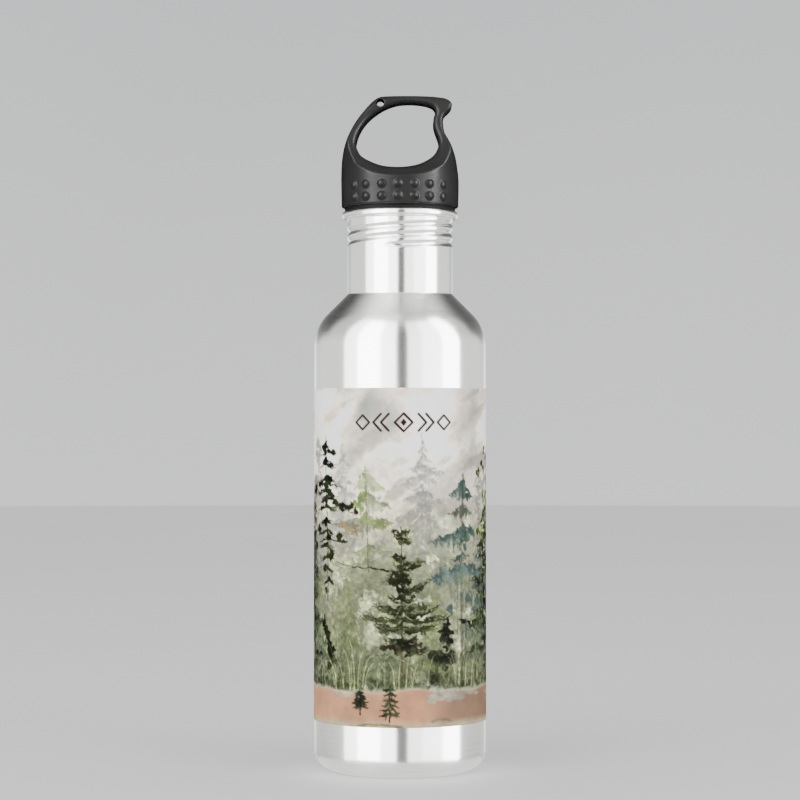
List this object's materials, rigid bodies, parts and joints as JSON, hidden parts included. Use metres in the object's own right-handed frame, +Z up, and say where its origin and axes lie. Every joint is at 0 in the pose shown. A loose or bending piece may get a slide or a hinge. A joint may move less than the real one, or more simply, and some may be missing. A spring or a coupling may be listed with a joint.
{
  "type": "water bottle",
  "caption": "Single-wall steel water bottle with a looped screw cap, a rolled thread in the neck and a printed wrap round the body.",
  "frame": {"origin": "on the bottle's axis, at the plane it stands on", "axes": "+Z up along the bottle's axis; -Y is the front, which the broad face of the cap loop looks along; +X is to the right seen from the front, where the loop's thumb notch is"},
  "size_m": [0.0712, 0.0712, 0.2779],
  "materials": {
    "steel": "brushed round the axis, satin",
    "steel_base": "spun satin",
    "print": "satin printed film",
    "cap_plastic": "semi-gloss moulded, fine grain",
    "plug_plastic": "moulded satin",
    "liner": "satin",
    "gasket": "matt silicone"
  },
  "bodies": {
    "bottle": {"body_shell": "steel", "base_disc": "steel_base", "print_wrap": "print"},
    "gasket": {"cap_gasket": "gasket"},
    "cap": {"cap_shell": "cap_plastic", "thread_plug": "plug_plastic", "plug_liner": "liner"}
  },
  "joints": [
    {"name": "cap_lift", "type": "slide", "parent": "bottle", "child": "gasket", "axis": [0, 0, 1], "range_m": [0, 0.026]},
    {"name": "cap_unscrew", "type": "hinge", "parent": "gasket", "child": "cap", "pos_m": [0, 0, 0.2319], "axis": [0, 0, 1], "range_deg": [0, 1170]}
  ],
  "couplings": [
    {"joint": "cap_lift", "follows": "cap_unscrew", "m_per_rad": 0.0012732}
  ]
}
